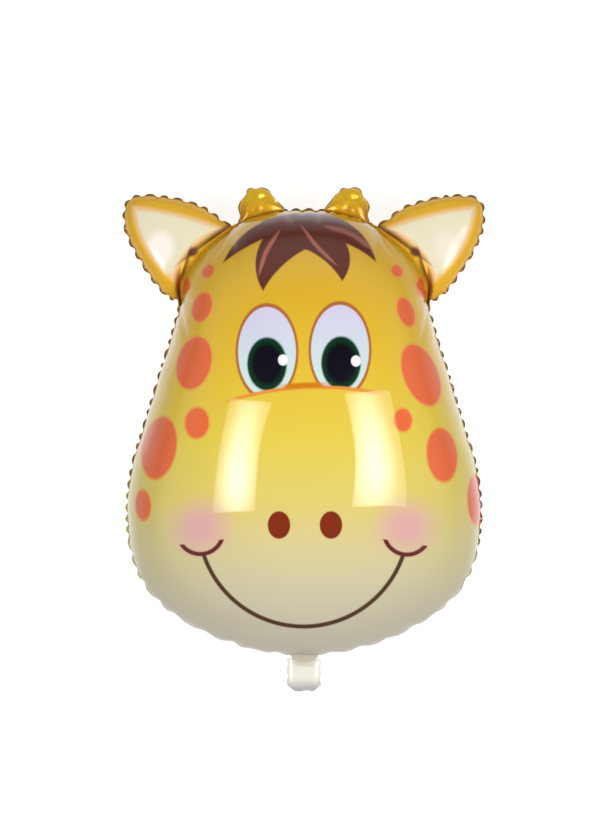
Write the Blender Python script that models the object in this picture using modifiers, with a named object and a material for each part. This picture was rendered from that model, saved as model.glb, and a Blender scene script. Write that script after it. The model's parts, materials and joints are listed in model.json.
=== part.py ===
"""A giraffe-head foil balloon, inflated and lying on its back.

Two printed films are welded together round a die-cut outline: a pear-shaped
head with two ears and two short horns, and a neck that takes the filling valve.
Each lobe swells to the profile of a film balloon, and gathers puckers along
the weld. The weld is flat. The face looks up along +Z, the crown points along
+Y, and the back rests on z = 0. Metres throughout.
"""
import math

import bmesh
import bpy
import numpy as np

# Head: width across the cheeks, chin to crown, and front to back once inflated.
HEAD_WIDTH = 0.438
HEAD_HEIGHT = 0.549
HEAD_DEPTH = 0.270
# The fullest point of the head, and its outline from crown to chin, as shares
# of the half width and of the height above the chin.
HEAD_CENTRE = 0.43
HEAD_OUTLINE = [
    (0.0, 1.0), (0.25, 0.990), (0.39, 0.963), (0.50, 0.934), (0.61, 0.893), (0.675, 0.849),
    (0.704, 0.787), (0.754, 0.711), (0.810, 0.640), (0.866, 0.566), (0.922, 0.493), (0.966, 0.435),
    (0.994, 0.370), (1.0, 0.303), (0.978, 0.236), (0.922, 0.174), (0.832, 0.125), (0.704, 0.085),
    (0.553, 0.050), (0.385, 0.024), (0.218, 0.008), (0.0, 0.0),
]
# How far the soft back is pressed flat where the balloon lies on it.
REST_FLAT = 0.001

# Ears: reach from the head, and depth. The roots are where an ear's edge leaves
# the head's outline, as shares of the head's half width. The outline runs from
# the upper root to the lower one, as shares of the root's length and the reach.
EAR_REACH = 0.1235
EAR_DEPTH = 0.048
EAR_ROOTS = (0.40, 0.704)
EAR_OUTLINE = [
    (0.0, 0.0), (0.02, 0.31), (0.08, 0.58), (0.21, 0.83), (0.34, 0.98), (0.50, 1.0),
    (0.65, 0.90), (0.76, 0.74), (0.86, 0.53), (0.94, 0.33), (1.0, 0.0),
]

# Horns, described in the same way.
HORN_REACH = 0.0365
HORN_DEPTH = 0.020
HORN_ROOTS = (0.10, 0.37)
HORN_OUTLINE = [
    (0.0, 0.0), (0.12, 0.31), (0.18, 0.69), (0.38, 0.96), (0.62, 1.0), (0.79, 0.76),
    (0.92, 0.48), (1.0, 0.0),
]

# The weld: its width outside the swollen film, and the thickness of the flange.
SEAM_WIDTH = 0.006
SEAM_THICKNESS = 0.001
# Puckers along the weld: their pitch, how deep their valleys cut into each
# lobe, and how far the die-cut edge is scalloped.
PUCKER_PITCH = 0.0175
HEAD_PUCKER = 0.0035
EAR_PUCKER = 0.0020
HORN_PUCKER = 0.0012
EDGE_SCALLOP = 0.0010

# The neck under the chin, where the valve film comes out.
NECK_WIDTH = 0.034
NECK_END_WIDTH = 0.023
NECK_LENGTH = 0.0135
NECK_DEPTH = 0.006

# The clear valve sleeve, which stands clear of the foil all round.
SLEEVE_WIDTH = 0.043
SLEEVE_LENGTH = 0.0435
SLEEVE_DEPTH = 0.006
SLEEVE_CORNER = 0.013
SLEEVE_EDGE = 0.0015
CLEARANCE = 0.0003

# How far the root of a lobe runs on inside the head.
ROOT_OVERLAP = 0.022
# Levels of a lobe's surface as shares of its half depth, with every how many
# columns they keep and how much of a pucker is left there.
LEVELS = [(0.10, 1, 1.0), (0.26, 1, 0.5), (0.45, 2, 0.0), (0.63, 2, 0.0), (0.79, 4, 0.0),
          (0.90, 4, 0.0), (0.96, 4, 0.0)]
SPAN_STEPS = 12


def spline(points, closed):
    """A smooth line through points: Catmull-Rom, SPAN_STEPS steps a span."""
    points = np.array(points, float)
    if closed:
        padded = np.vstack([points[-1], points, points[:2]])
    else:
        padded = np.vstack([2 * points[0] - points[1], points, 2 * points[-1] - points[-2]])
    line = []
    for before, start, stop, after in zip(padded, padded[1:], padded[2:], padded[3:]):
        for step in range(SPAN_STEPS):
            t = step / SPAN_STEPS
            line.append(0.5 * (2 * start + (stop - before) * t
                               + (2 * before - 5 * start + 4 * stop - after) * t ** 2
                               + (after - before + 3 * (start - stop)) * t ** 3))
    if not closed:
        line.append(points[-1])
    return np.array(line)


def lengths(line):
    """Distance along a line to each of its points."""
    return np.r_[0, np.cumsum(np.linalg.norm(np.diff(line, axis=0), axis=1))]


def read_line(line, places):
    """Points of a line at the given distances along it."""
    along = lengths(line)
    return np.c_[np.interp(places, along, line[:, 0]), np.interp(places, along, line[:, 1])]


def even_steps(line, pitch):
    """A line in an even number of equal steps of about half the pitch."""
    total = lengths(line)[-1]
    count = 2 * max(1, round(total / pitch))
    return read_line(line, np.linspace(0, total, count + 1))


def outward(loop):
    """Unit normals of a clockwise loop, pointing out."""
    along = np.roll(loop, -1, axis=0) - np.roll(loop, 1, axis=0)
    normals = np.c_[-along[:, 1], along[:, 0]]
    return normals / np.linalg.norm(normals, axis=1)[:, None]


def mirrored(half):
    """A closed clockwise loop from its right half; points at x = 0 stay single."""
    left = half[::-1] * np.array([-1, 1])
    return np.vstack([half, left[left[:, 0] < 0]])


def head_half():
    """The head's right outline, from crown to chin."""
    points = np.array(HEAD_OUTLINE) * np.array([HEAD_WIDTH / 2, HEAD_HEIGHT])
    loop = spline(mirrored(points), closed=True)
    return loop[:(len(points) - 1) * SPAN_STEPS + 1]


def crown_place(half, share):
    """Distance along the head's upper outline to a share of its half width."""
    widest = int(half[:, 0].argmax())
    return np.interp(share * HEAD_WIDTH / 2, half[:widest, 0], lengths(half)[:widest])


def chin_place(half, x):
    """Distance along the head's lower outline to the place at x."""
    widest = int(half[:, 0].argmax())
    return np.interp(-x, -half[widest:, 0], lengths(half)[widest:])


def stretch(half, start, stop):
    """The part of the head's outline between two distances along it."""
    along = lengths(half)
    inside = along[(along > start) & (along < stop)]
    return read_line(half, np.r_[start, inside, stop])


def lobe_points(half, roots, reach, outline):
    """An ear's or a horn's outline points, between its roots on the head."""
    first, last = read_line(half, [crown_place(half, share) for share in roots])
    chord = last - first
    out = np.array([-chord[1], chord[0]]) / np.linalg.norm(chord)
    return np.array([first + across * chord + along * reach * out for across, along in outline])


def with_root(points):
    """A lobe's outline closed by a root inside the head."""
    chord = points[-1] - points[0]
    inward = np.array([chord[1], -chord[0]]) / np.linalg.norm(chord)
    return np.vstack([points, points[-1] + inward * ROOT_OVERLAP, points[0] + inward * ROOT_OVERLAP])


def neck_half():
    """The neck's right edge, from the chin down to its end."""
    return np.array([(NECK_WIDTH / 2, 0.0), (NECK_END_WIDTH / 2, -NECK_LENGTH)])


def die_cut_outline():
    """The outline that the two films are cut to, scalloped by the puckers."""
    half = head_half()
    horn = [crown_place(half, share) for share in HORN_ROOTS]
    ear = [crown_place(half, share) for share in EAR_ROOTS]
    gathered = [
        stretch(half, 0.0, horn[0]),
        spline(lobe_points(half, HORN_ROOTS, HORN_REACH, HORN_OUTLINE), closed=False),
        stretch(half, horn[1], ear[0]),
        spline(lobe_points(half, EAR_ROOTS, EAR_REACH, EAR_OUTLINE), closed=False),
        stretch(half, ear[1], chin_place(half, NECK_WIDTH / 2)),
    ]
    right = np.vstack([even_steps(line, PUCKER_PITCH)[:-1] for line in gathered])
    scalloped = len(right)
    right = np.vstack([right, neck_half()])
    gathers = np.zeros(len(right))
    gathers[1:scalloped:2] = EDGE_SCALLOP
    right -= outward(mirrored(right))[:len(right)] * gathers[:, None]
    return mirrored(right)


def mesh_object(name, bm, parent, collection):
    """An object from a bmesh, facing out, parented to the seam plane."""
    bmesh.ops.recalc_face_normals(bm, faces=bm.faces)
    mesh = bpy.data.meshes.new(name)
    bm.to_mesh(mesh)
    bm.free()
    made = bpy.data.objects.new(name, mesh)
    made.parent = parent
    collection.objects.link(made)
    return made


def plate(name, loop, thickness, parent, collection):
    """A flat film of the given outline: a filled 2D curve, made a mesh."""
    curve = bpy.data.curves.new(name + "_outline", "CURVE")
    curve.dimensions = "2D"
    curve.fill_mode = "BOTH"
    curve.extrude = thickness / 2
    line = curve.splines.new("POLY")
    line.points.add(len(loop) - 1)
    for point, (x, y) in zip(line.points, loop):
        point.co = (x, y, 0.0, 1.0)
    line.use_cyclic_u = True
    drawn = bpy.data.objects.new(name + "_outline", curve)
    collection.objects.link(drawn)
    evaluated = drawn.evaluated_get(bpy.context.evaluated_depsgraph_get())
    mesh = bpy.data.meshes.new_from_object(evaluated)
    bpy.data.objects.remove(drawn)
    bm = bmesh.new()
    bm.from_mesh(mesh)
    bpy.data.meshes.remove(mesh)
    bmesh.ops.remove_doubles(bm, verts=bm.verts, dist=1e-6)
    return mesh_object(name, bm, parent, collection)


def bridge(bm, outer, inner):
    """Faces between two rings: equal ones, or an inner ring of half as many."""
    count = len(inner)
    for i in range(count):
        j = (i + 1) % count
        if len(outer) == count:
            bm.faces.new((outer[i], outer[j], inner[j], inner[i]))
            continue
        middle = outer[2 * i + 1]
        bm.faces.new((outer[2 * i], middle, inner[i]))
        bm.faces.new((middle, inner[j], inner[i]))
        bm.faces.new((middle, outer[(2 * i + 2) % len(outer)], inner[j]))


def swell(level):
    """Share of the way out to the rim where a film balloon has this height."""
    return (1 - level ** 2) ** (1 / 3)


def pillow(name, outline, centre, depth, pucker, parent, collection, rest_flat=0.0):
    """A swollen lobe: rings of its own outline, drawn in towards its centre."""
    closed = np.vstack([outline, outline[:1]])
    total = lengths(closed)[-1]
    columns = 4 * max(3, round(total / (2 * PUCKER_PITCH)))
    rim = read_line(closed, np.arange(columns) * total / columns)
    out = outward(rim)
    rim = rim - out * SEAM_WIDTH
    levels = list(LEVELS)
    if rest_flat:
        levels.append((1 - 2 * rest_flat / depth, 4, 0.0))
    bm = bmesh.new()
    rim_ring = [bm.verts.new((x, y, 0.0)) for x, y in rim]
    for side in (1, -1):
        outer = rim_ring
        for level, every, gathered in levels:
            ring = centre + (rim - centre) * swell(level)
            valley = np.arange(columns) % 2 == (1 if side > 0 else 0)
            ring[valley] -= out[valley] * pucker * gathered
            height = side * level * depth / 2
            inner = [bm.verts.new((x, y, height)) for x, y in ring[::every]]
            bridge(bm, outer, inner)
            outer = inner
        if rest_flat and side < 0:
            bm.faces.new(outer)
            continue
        top = bm.verts.new((centre[0], centre[1], side * depth / 2))
        for i, vertex in enumerate(outer):
            bm.faces.new((vertex, outer[(i + 1) % len(outer)], top))
    return mesh_object(name, bm, parent, collection)


def material(name, colour, roughness, metallic, transmission=0.0):
    """A Principled finish."""
    made = bpy.data.materials.new(name)
    made.use_nodes = True
    shader = made.node_tree.nodes["Principled BSDF"]
    shader.inputs["Base Color"].default_value = (*colour, 1.0)
    shader.inputs["Roughness"].default_value = roughness
    shader.inputs["Metallic"].default_value = metallic
    shader.inputs["Transmission Weight"].default_value = transmission
    made.diffuse_color = (*colour, 1.0)
    return made


def new_collection(name):
    """A collection of the scene."""
    made = bpy.data.collections.new(name)
    bpy.context.scene.collection.children.link(made)
    return made


def lobes(parent, helpers):
    """The swollen head, ears, horns and neck, which the welded film unites."""
    half = head_half()
    pillow("head_lobe", mirrored(half), np.array([0.0, HEAD_CENTRE * HEAD_HEIGHT]), HEAD_DEPTH,
           HEAD_PUCKER, parent, helpers, REST_FLAT)
    for kind, roots, reach, outline, depth, pucker in (
            ("ear", EAR_ROOTS, EAR_REACH, EAR_OUTLINE, EAR_DEPTH, EAR_PUCKER),
            ("horn", HORN_ROOTS, HORN_REACH, HORN_OUTLINE, HORN_DEPTH, HORN_PUCKER)):
        points = lobe_points(half, roots, reach, outline)
        for label, sign in (("right", 1), ("left", -1)):
            loop = spline(with_root(points), closed=True)
            middle = points.mean(axis=0)
            if sign < 0:
                loop = loop[::-1] * np.array([-1, 1])
                middle = middle * np.array([-1, 1])
            pillow(f"{label}_{kind}_lobe", loop, middle, depth, pucker, parent, helpers)
    side = NECK_WIDTH / 2
    end = NECK_END_WIDTH / 2
    channel = np.array([(side, ROOT_OVERLAP), (side, 0.0), (end, -NECK_LENGTH), (-end, -NECK_LENGTH),
                        (-side, 0.0), (-side, ROOT_OVERLAP)])
    pillow("neck_lobe", channel, channel.mean(axis=0), NECK_DEPTH, 0.0, parent, helpers)


def unite(base, helpers):
    """Join a body with every shape of a collection in one exact Boolean."""
    join = base.modifiers.new("lobes", "BOOLEAN")
    join.operation = "UNION"
    join.solver = "EXACT"
    join.operand_type = "COLLECTION"
    join.collection = helpers
    for shape in helpers.objects:
        shape.hide_render = True
        shape.display_type = "WIRE"


def envelope(loop, parent, collection, helpers):
    """The welded film: the die-cut flange with the swollen lobes in it."""
    made = plate("envelope", loop, SEAM_THICKNESS, parent, collection)
    lobes(parent, helpers)
    unite(made, helpers)
    made.data.materials.append(material("printed_film", (0.80, 0.48, 0.06), 0.18, 0.35))
    return made


def valve_sleeve(parent, collection):
    """The clear sleeve, notched round the end of the neck."""
    top = -(EDGE_SCALLOP + CLEARANCE)
    bottom = -SLEEVE_LENGTH
    side = SLEEVE_WIDTH / 2
    corner = [(side - SLEEVE_CORNER + SLEEVE_CORNER * math.cos(a), bottom + SLEEVE_CORNER * (1 - math.sin(a)))
              for a in np.linspace(0, math.pi / 2, 7)]
    slope = (NECK_WIDTH - NECK_END_WIDTH) / 2 / NECK_LENGTH
    beside = CLEARANCE * math.hypot(1, slope)
    notch_top = NECK_WIDTH / 2 + top * slope + beside
    notch_end = NECK_END_WIDTH / 2 - CLEARANCE * slope + beside
    half = [(notch_end, -NECK_LENGTH - CLEARANCE), (notch_top, top), (side, top), *corner]
    made = plate("valve_sleeve", mirrored(np.array(half)), SLEEVE_DEPTH, parent, collection)
    soften = made.modifiers.new("rounded_edge", "BEVEL")
    soften.width = SLEEVE_EDGE
    soften.segments = 2
    soften.limit_method = "ANGLE"
    soften.angle_limit = math.radians(40)
    made.data.materials.append(material("clear_film", (0.86, 0.86, 0.80), 0.2, 0.0, 0.6))
    return made


def main():
    for old in list(bpy.data.objects):
        bpy.data.objects.remove(old)
    collection = new_collection("giraffe_foil_balloon")
    helpers = new_collection("lobe_helpers")
    loop = die_cut_outline()
    crown = loop[:, 1].max()
    seam_plane = bpy.data.objects.new("seam_plane", None)
    seam_plane.location = (0.0, (SLEEVE_LENGTH - crown) / 2, HEAD_DEPTH / 2 - REST_FLAT)
    collection.objects.link(seam_plane)
    envelope(loop, seam_plane, collection, helpers)
    valve_sleeve(seam_plane, collection)


main()
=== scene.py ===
# %% [markdown]
# # A giraffe foil balloon
#
# A foil balloon is two flat sheets of printed, metallised film, welded together round their edge.
# When it is filled, the middle swells smoothly, but the edge has too much length for the smaller
# outline it is drawn into, so the film gathers there in a row of small folds, the puckers.
# This script dresses a plain solid of such a balloon: it builds the film with its puckers, prints
# the face on it with shader nodes, and lights it like a product photograph.

# %% Load the solid model as the frame
import json
import math

import bpy
import numpy as np
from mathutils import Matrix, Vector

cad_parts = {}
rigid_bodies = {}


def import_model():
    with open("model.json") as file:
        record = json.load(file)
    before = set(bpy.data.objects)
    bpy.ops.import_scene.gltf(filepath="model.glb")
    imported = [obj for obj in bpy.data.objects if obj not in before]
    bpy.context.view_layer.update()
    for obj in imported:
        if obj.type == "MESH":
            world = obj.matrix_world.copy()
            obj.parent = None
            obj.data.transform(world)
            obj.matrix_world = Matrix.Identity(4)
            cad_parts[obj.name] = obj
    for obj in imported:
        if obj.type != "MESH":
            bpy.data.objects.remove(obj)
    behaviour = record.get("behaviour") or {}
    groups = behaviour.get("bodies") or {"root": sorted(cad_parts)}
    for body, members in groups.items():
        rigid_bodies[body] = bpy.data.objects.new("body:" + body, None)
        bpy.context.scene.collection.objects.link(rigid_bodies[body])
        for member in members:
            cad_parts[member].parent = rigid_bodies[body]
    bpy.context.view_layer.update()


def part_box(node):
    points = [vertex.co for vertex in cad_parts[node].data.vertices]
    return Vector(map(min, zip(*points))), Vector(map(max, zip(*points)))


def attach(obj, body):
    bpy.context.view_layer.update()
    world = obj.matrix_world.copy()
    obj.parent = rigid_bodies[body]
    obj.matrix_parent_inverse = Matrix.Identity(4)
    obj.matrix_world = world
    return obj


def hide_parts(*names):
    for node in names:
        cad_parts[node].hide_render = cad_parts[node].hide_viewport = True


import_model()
envelope_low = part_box("envelope")[0]
sleeve_low, sleeve_high = (np.array(corner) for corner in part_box("valve_sleeve"))

# %% [markdown]
# ## The outline
#
# The film is cut to a pear-shaped head, two ears and two horns. Each outline could be traced as one
# long list of points, but a few points with a smooth line through them are easier to change. The
# head's points are shares of its half width and height. An ear's or a horn's run between its two
# roots on the head, as shares of the distance between the roots and of its reach.

# %% Sizes, in metres
HEAD_WIDTH = 0.438
HEAD_HEIGHT = 0.549
HEAD_DEPTH = 0.270
HEAD_CENTRE = 0.43
HEAD_OUTLINE = [
    (0.0, 1.0), (0.25, 0.990), (0.39, 0.963), (0.50, 0.934), (0.61, 0.893), (0.675, 0.849),
    (0.704, 0.787), (0.754, 0.711), (0.810, 0.640), (0.866, 0.566), (0.922, 0.493), (0.966, 0.435),
    (0.994, 0.370), (1.0, 0.303), (0.978, 0.236), (0.922, 0.174), (0.832, 0.125), (0.704, 0.085),
    (0.553, 0.050), (0.385, 0.024), (0.218, 0.008), (0.0, 0.0),
]
EAR_REACH = 0.1235
EAR_DEPTH = 0.048
EAR_ROOTS = (0.40, 0.704)
EAR_OUTLINE = [
    (0.0, 0.0), (0.0, 0.33), (0.04, 0.48), (0.09, 0.61), (0.17, 0.77), (0.25, 0.89), (0.34, 0.98),
    (0.42, 1.005), (0.50, 0.995), (0.62, 0.925), (0.72, 0.83), (0.80, 0.71), (0.87, 0.58),
    (0.925, 0.45), (0.97, 0.34), (1.01, 0.21), (1.02, 0.10), (1.0, 0.0),
]
HORN_REACH = 0.0365
HORN_DEPTH = 0.020
HORN_ROOTS = (0.10, 0.37)
HORN_OUTLINE = [
    (0.0, 0.0), (0.12, 0.31), (0.18, 0.69), (0.38, 0.96), (0.62, 1.0), (0.79, 0.76),
    (0.92, 0.48), (1.0, 0.0),
]
NECK_WIDTH = 0.034
NECK_END_WIDTH = 0.023
NECK_LENGTH = 0.0135
NECK_DEPTH = 0.005
NECK_OVERLAP = 0.022
SEAM_WIDTH = 0.0035
CHIN_SEAM = 0.0014
EAR_SEAM = 0.0034
HORN_SEAM = 0.0020
ROOT_OVERLAP = 0.008

CHIN_Y = envelope_low[1] + NECK_LENGTH
SEAM_Z = (sleeve_low[2] + sleeve_high[2]) / 2
print(f"chin at y = {CHIN_Y:.4f}, seam plane at z = {SEAM_Z:.4f}")


# %% Lines through points
def spline(points, closed, steps=12):
    """A smooth Catmull-Rom line through points."""
    points = np.array(points, float)
    if closed:
        padded = np.vstack([points[-1], points, points[:2]])
    else:
        padded = np.vstack([2 * points[0] - points[1], points, 2 * points[-1] - points[-2]])
    line = []
    for before, start, stop, after in zip(padded, padded[1:], padded[2:], padded[3:]):
        for t in np.arange(steps) / steps:
            line.append(0.5 * (2 * start + (stop - before) * t
                               + (2 * before - 5 * start + 4 * stop - after) * t ** 2
                               + (after - before + 3 * (start - stop)) * t ** 3))
    if not closed:
        line.append(points[-1])
    return np.array(line)


def lengths(line):
    """Distance along a line to each of its points."""
    return np.r_[0, np.cumsum(np.linalg.norm(np.diff(line, axis=0), axis=1))]


def read_line(line, places):
    """Points of a line at distances along it."""
    along = lengths(line)
    return np.c_[np.interp(places, along, line[:, 0]), np.interp(places, along, line[:, 1])]


def outward(loop):
    """Unit normals of a clockwise loop, pointing out."""
    along = np.roll(loop, -1, axis=0) - np.roll(loop, 1, axis=0)
    normals = np.c_[-along[:, 1], along[:, 0]]
    return normals / np.linalg.norm(normals, axis=1)[:, None]


def mirrored(half):
    """A clockwise loop from its right half; points at x = 0 stay single."""
    left = half[::-1] * np.array([-1, 1])
    return np.vstack([half, left[left[:, 0] < 0]])


def flipped(loop):
    """A clockwise loop's mirror image, clockwise again."""
    return loop[::-1] * np.array([-1, 1])


# %% Outlines of the head, an ear and a horn
def head_loop():
    """The head's outline, clockwise from the crown."""
    points = np.array(HEAD_OUTLINE) * np.array([HEAD_WIDTH / 2, HEAD_HEIGHT])
    return spline(mirrored(points), closed=True)


def crown_place(loop, share):
    """Distance along the head's outline to a share of its half width, above the cheek."""
    widest = int(loop[:, 0].argmax())
    return np.interp(share * HEAD_WIDTH / 2, loop[:widest, 0], lengths(loop)[:widest])


def rooted_loop(roots, reach, outline):
    """The closed outline of a lobe that grows from the head, and its middle."""
    head = head_loop()
    first, last = read_line(head, [crown_place(head, share) for share in roots])
    chord = last - first
    out = np.array([-chord[1], chord[0]]) / np.linalg.norm(chord)
    points = np.array([first + across * chord + along * reach * out for across, along in outline])
    closed = np.vstack([points, last - out * ROOT_OVERLAP, first - out * ROOT_OVERLAP])
    return spline(closed, closed=True), points.mean(axis=0)


head_outline = head_loop()
ear_outline, ear_middle = rooted_loop(EAR_ROOTS, EAR_REACH, EAR_OUTLINE)
horn_outline, horn_middle = rooted_loop(HORN_ROOTS, HORN_REACH, HORN_OUTLINE)
for name, line in (("head", head_outline), ("ear", ear_outline), ("horn", horn_outline)):
    print(name, "outline:", round(float(lengths(line)[-1]) * 1000), "mm")

# %% [markdown]
# ## The swollen film
#
# A film can't stretch, so a filled balloon isn't an ellipsoid: it keeps nearly flat faces and turns
# sharply at the edge. Half its depth times the square root of 1 - t cubed fits the real curve very
# well, where t runs from 0 in the middle to 1 at the weld. A cloth simulation is the other way, but
# it came out wider than the photograph's outline, so each lobe is built from rings instead.
#
# The puckers come from the same rings. There are eight columns of points to each pucker, so that
# the sharp valleys fall exactly on a row of edges. A valley on the front faces a ridge on the
# back, and the weld between them waves from side to side. Under the chin the
# puckers are wider and the weld is narrower.

# %% Values of the puckers
PUCKER_PITCH = 0.0150
CHIN_PITCH = 0.0330
EAR_PITCH = 0.0175
HORN_PITCH = 0.0240
CHIN_PITCH_HEIGHTS = (0.16, 0.04)
PUCKER_JITTER = 0.22
RIM_PULL = 0.075
RIM_FADE = 0.012
RIM_FADE_SHARE = 0.16
COLUMNS = 8
WELD_WAVE = 0.0022
FILM = 0.0004
EDGE_SCALLOP = 0.75
VALLEY_SHARPNESS = 1.5
ROUNDING = 0.8


def smooth_step(value):
    """0 below 0, 1 above 1, and a soft rise between."""
    value = np.clip(value, 0, 1)
    return value * value * (3 - 2 * value)


# %% Where the columns of a lobe stand
def pucker_columns(outline, rng, pitch):
    """Each column's point and normal on the outline, its phase, its place and the pitch there."""
    closed = np.vstack([outline, outline[:1]])
    along = lengths(closed)
    pitches = np.broadcast_to(pitch, len(outline))
    crowding = np.r_[0, np.cumsum(np.diff(along) / pitches)]
    count = round(crowding[-1])
    valleys = np.arange(count) + rng.uniform(-PUCKER_JITTER, PUCKER_JITTER, count)
    valleys = np.r_[valleys[-1] - count, valleys, valleys[0] + count] * crowding[-1] / count
    phase = np.arange(count * COLUMNS) / COLUMNS
    reached = np.interp(phase, np.arange(-1, count + 1), valleys) % crowding[-1]
    places = np.interp(reached, crowding, along)
    edge = read_line(closed, places)
    return edge, outward(edge), phase, places, np.interp(places, along[:-1], pitches)


# %% Rings that grow rounder towards the middle
def round_inward(spokes, share):
    """The rim's spokes at each share of the way out: small shape details fade first, like ripples."""
    waves = np.fft.fft(spokes[:, 0] + 1j * spokes[:, 1]) / len(spokes)
    order = np.abs(np.fft.fftfreq(len(spokes), 1 / len(spokes)))
    fade = share[:, None] ** (1 + ROUNDING * np.clip(order - 1, 0, 40)[None, :])
    rings = np.fft.ifft(waves[None, :] * fade * len(spokes), axis=1)
    return np.stack([rings.real, rings.imag], axis=2)


# %% The profile from the weld to the middle
def profile_rows(half_depth, radius, first_step=0.0016, growth=1.09, largest=0.0075):
    """Distance from the weld, share of the way out, and height share, for each ring."""
    angle = np.linspace(0, math.pi / 2, 4000)
    share = np.cos(angle) ** (2 / 3)
    height = np.sin(angle)
    arc = np.r_[0, np.cumsum(np.hypot(np.diff(height) * half_depth, np.diff(share) * radius))]
    rows = [0.0]
    step = first_step
    while rows[-1] + step < arc[-1] - 0.006:
        rows.append(rows[-1] + step)
        step = min(step * growth, largest)
    rows = np.array(rows)
    return rows, np.interp(rows, arc, share), np.interp(rows, arc, height)


# %% One family of folds
def folds(phase, count, offset, rows, rng, depth, reach):
    """How deep each point lies in the nearest valley: rings down, columns across."""
    shifted = phase - offset
    nearest = np.round(shifted).astype(int) % count
    beside = 2 * np.abs(shifted - np.round(shifted))
    own_depth = depth * rng.uniform(0.45, 1.25, count)[nearest]
    own_reach = reach * rng.uniform(0.40, 1.60, count)[nearest]
    run = rows[:, None] / own_reach[None, :]
    sharp = (1 - beside)[None, :] ** (VALLEY_SHARPNESS * (1 + 1.5 * run))
    start = smooth_step(rows / 0.005)[:, None]
    return own_depth[None, :] * sharp * start * np.clip(1 - run, 0, 1) ** 1.3


# %% Long creases drawn across a lobe
def crease_field(places, total, rows, creases):
    """Depth of a few long creases, each given by its start, heading, length, depth and width."""
    field = np.zeros((len(rows), len(places)))
    for place, row, heading, length, depth, width in creases:
        across = (places[None, :] - place + total / 2) % total - total / 2
        inward = rows[:, None] - row
        turn = math.radians(heading)
        run = (across * math.cos(turn) + inward * math.sin(turn)) / length
        off = -across * math.sin(turn) + inward * math.cos(turn)
        taper = np.where((run > 0) & (run < 1), np.sin(math.pi * np.clip(run, 0, 1) ** 0.8), 0.0)
        field += depth * taper * np.exp(-np.abs(off / width) ** 1.5)
    return field


# %% Soft dents
def dent_field(offsets, dents):
    """Depth of round dents, each given by its place from the lobe's middle, its reach and its depth."""
    field = np.zeros(offsets.shape[:2])
    for across, up, reach, depth in dents:
        away = np.hypot(offsets[:, :, 0] - across, offsets[:, :, 1] - up)
        field += depth * np.exp(-(away / reach) ** 2)
    return field


# %% A whole lobe as rings of points
def film_lobe(outline, centre, depth, rng, fold_depth, fold_reach, creases=(), dents=(), flute=0.0,
              pitch=PUCKER_PITCH, halve_at=(0.032, 0.09, 0.17), seam=SEAM_WIDTH, weld_wave=WELD_WAVE,
              rim_pull=RIM_PULL):
    """Rings of points from the front's middle, over the weld, to the back's middle."""
    edge, out, phase, places, pitches = pucker_columns(outline, rng, pitch)
    count = len(phase) // COLUMNS
    total = lengths(np.vstack([outline, outline[:1]]))[-1]
    seam = np.interp(places, lengths(outline), np.broadcast_to(seam, len(outline)))
    rim = edge - out * seam[:, None]
    spokes = rim - centre
    radius = (spokes * out).sum(axis=1)
    half = depth / 2
    rows, share, height = profile_rows(half, radius.mean())
    lean = 1.5 * half * share[:, None] ** 2
    climb = np.sqrt(np.clip(1 - share ** 3, 0, 1))[:, None] * np.maximum(radius, 0.004)[None, :]
    steep = lean / np.hypot(lean, climb)
    flat = climb / np.hypot(lean, climb)
    size = rng.uniform(0.6, 1.3, count)
    size = size[np.round(phase).astype(int) % count]
    wave = weld_wave * np.cos(2 * math.pi * phase) * size
    valley = (0.5 + 0.5 * np.cos(2 * math.pi * phase)) ** 1.5
    pull = rim_pull * pitches * valley * size
    fade = np.exp(-rows / min(RIM_FADE, RIM_FADE_SHARE * radius.mean()))[:, None]
    rings_out = round_inward(spokes, share)
    flutes = flute * np.sin(2 * math.pi * places / total * round(total / 0.055) + 1.3)
    sides = {}
    for side in (1, -1):
        sunk = folds(phase, count, 0.0 if side > 0 else 0.5, rows, rng, fold_depth, fold_reach)
        dark = sunk / fold_depth
        sunk = sunk + crease_field(places, total, rows, creases)
        flute_fade = smooth_step(rows / 0.02) * np.clip(1 - rows / 0.11, 0, 1) ** 2
        sunk = sunk + flutes[None, :] * flute_fade[:, None]
        pulled = steep * sunk + pull[None, :] * fade
        points = np.empty((len(rows), len(phase), 3))
        points[:, :, :2] = centre + rings_out - out[None] * pulled[:, :, None]
        dented = dent_field(points[:, :, :2] - centre, dents) * smooth_step(rows / 0.006)[:, None]
        points[:, :, 2] = side * (FILM / 2 + half * height[:, None] - flat * sunk - dented)
        points[:, :, 2] += wave[None, :] * fade
        sides[side] = (points, dark)
    scallop = EDGE_SCALLOP * seam * valley
    # Where the weld gets painted shadow: dashes between the valleys.
    dash = smooth_step(1.3 - 2.0 * valley)
    rings = []

    def ring(points, dark, flange, every=1):
        rings.append((points[::every], dark[::every], flange * dash[::every]))

    def columns_kept(row):
        return 2 ** sum(row > limit for limit in halve_at)

    points, dark = sides[1]
    for index in range(len(rows) - 1, -1, -1):
        ring(points[index], dark[index], 0.0, columns_kept(rows[index]))
    for side in (1, -1):
        steps = (0.35, 0.7, 1.0) if side > 0 else (1.0, 0.7, 0.35)
        for step in steps:
            flange = np.empty((len(phase), 3))
            flange[:, :2] = rim + out * (seam * step - scallop * step - pull)[:, None]
            flange[:, 2] = wave * (1 + 0.35 * step) + side * FILM / 2
            ring(flange, np.zeros(len(phase)), step)
    points, dark = sides[-1]
    for index in range(len(rows)):
        ring(points[index], dark[index], 0.0, columns_kept(rows[index]))
    tips = [np.array([*centre, side * (half + FILM / 2)]) for side in (1, -1)]
    return rings, tips


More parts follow.
